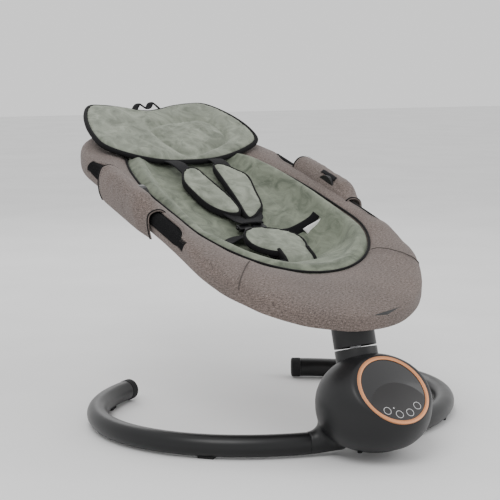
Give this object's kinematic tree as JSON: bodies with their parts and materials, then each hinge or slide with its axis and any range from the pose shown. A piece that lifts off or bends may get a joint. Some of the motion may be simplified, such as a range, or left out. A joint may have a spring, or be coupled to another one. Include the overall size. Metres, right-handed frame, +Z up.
{
  "type": "baby swing",
  "caption": "Reclining oval baby seat with harness and head pillow, on a leaning stem that swings side to side above a round motor housing and a C-shaped tube base.",
  "frame": {"origin": "floor level, under the middle of the whole object's bounding box", "axes": "+Z up, -Y towards the foot end and control panel, +Y towards the head end, +X to the panel's right when seen from above with the head end away"},
  "size_m": [0.667, 0.894, 0.5135],
  "materials": {
    "shell_plastic": "satin charcoal moulded plastic",
    "tube_paint": "satin charcoal powder coat",
    "cap_rubber": "matt charcoal rubber",
    "copper_trim": "anodised copper, satin",
    "panel_glass": "gloss black touch panel",
    "steel": "bright steel",
    "coil_copper": "enamelled winding",
    "board": "circuit board",
    "cover_cloth": "grey-brown melange weave",
    "liner_velour": "sage green brushed velour",
    "harness_web": "black webbing",
    "knit_cuff": "black ribbed knit",
    "harness_plastic": "black moulded plastic"
  },
  "bodies": {
    "base": {"base_shell": "shell_plastic", "base_tray": "shell_plastic", "tray_screw_1": "steel", "tray_screw_2": "steel", "tray_screw_3": "steel", "left_leg_tube": "tube_paint", "left_leg_cap": "cap_rubber", "left_front_foot": "cap_rubber", "left_rear_foot": "cap_rubber", "right_leg_tube": "tube_paint", "right_leg_cap": "cap_rubber", "right_front_foot": "cap_rubber", "right_rear_foot": "cap_rubber", "trim_ring": "copper_trim", "control_panel": "panel_glass", "control_board": "board", "speaker": "shell_plastic", "power_socket": "shell_plastic", "stem_base": "shell_plastic", "lower_bearing": "steel", "upper_bearing": "steel", "drive_coil": "coil_copper"},
    "seat": {"swing_shaft": "steel", "stem_sleeve": "shell_plastic", "magnet_arm": "steel", "seat_bracket": "tube_paint", "front_frame_tube": "tube_paint", "front_cover": "cover_cloth", "seat_cushion": "liner_velour", "crotch_strap": "harness_web", "crotch_pad": "liner_velour", "buckle_body": "harness_plastic", "left_hinge_plate": "harness_plastic", "left_front_cuff": "knit_cuff", "left_buckle_tongue": "harness_plastic", "left_waist_strap": "harness_web", "right_hinge_plate": "harness_plastic", "right_front_cuff": "knit_cuff", "right_buckle_tongue": "harness_plastic", "right_waist_strap": "harness_web"},
    "backrest": {"back_frame_tube": "tube_paint", "back_cover": "cover_cloth", "back_cushion": "liner_velour", "head_pillow": "liner_velour", "left_hinge_disc": "harness_plastic", "left_hinge_pin": "steel", "left_back_cuff": "knit_cuff", "left_hinge_flap": "cover_cloth", "left_shoulder_strap": "harness_web", "left_shoulder_pad": "liner_velour", "right_hinge_disc": "harness_plastic", "right_hinge_pin": "steel", "right_back_cuff": "knit_cuff", "right_hinge_flap": "cover_cloth", "right_shoulder_strap": "harness_web", "right_shoulder_pad": "liner_velour"},
    "buckle_button": {"buckle_button": "harness_plastic"},
    "left_recline_button": {"left_recline_button": "harness_plastic"},
    "right_recline_button": {"right_recline_button": "harness_plastic"}
  },
  "joints": [
    {"name": "seat_swing", "type": "hinge", "parent": "base", "child": "seat", "pos_m": [0, -0.29346, 0.19106], "axis": [0, 0.2957, 0.9553], "range_deg": [-15, 15]},
    {"name": "backrest_recline", "type": "hinge", "parent": "seat", "child": "backrest", "pos_m": [0, 0.0694, 0.371], "axis": [1, 0, 0], "range_deg": [0, 22]},
    {"name": "buckle_press", "type": "slide", "parent": "seat", "child": "buckle_button", "axis": [0, 0.4067, -0.9135], "range_m": [0, 0.003], "stiffness_N_per_m": 900, "springref_m": -0.002},
    {"name": "left_recline_press", "type": "slide", "parent": "backrest", "child": "left_recline_button", "axis": [1, 0, 0], "range_m": [0, 0.0035], "stiffness_N_per_m": 900, "springref_m": -0.002},
    {"name": "right_recline_press", "type": "slide", "parent": "backrest", "child": "right_recline_button", "axis": [-1, 0, 0], "range_m": [0, 0.0035], "stiffness_N_per_m": 900, "springref_m": -0.002}
  ]
}
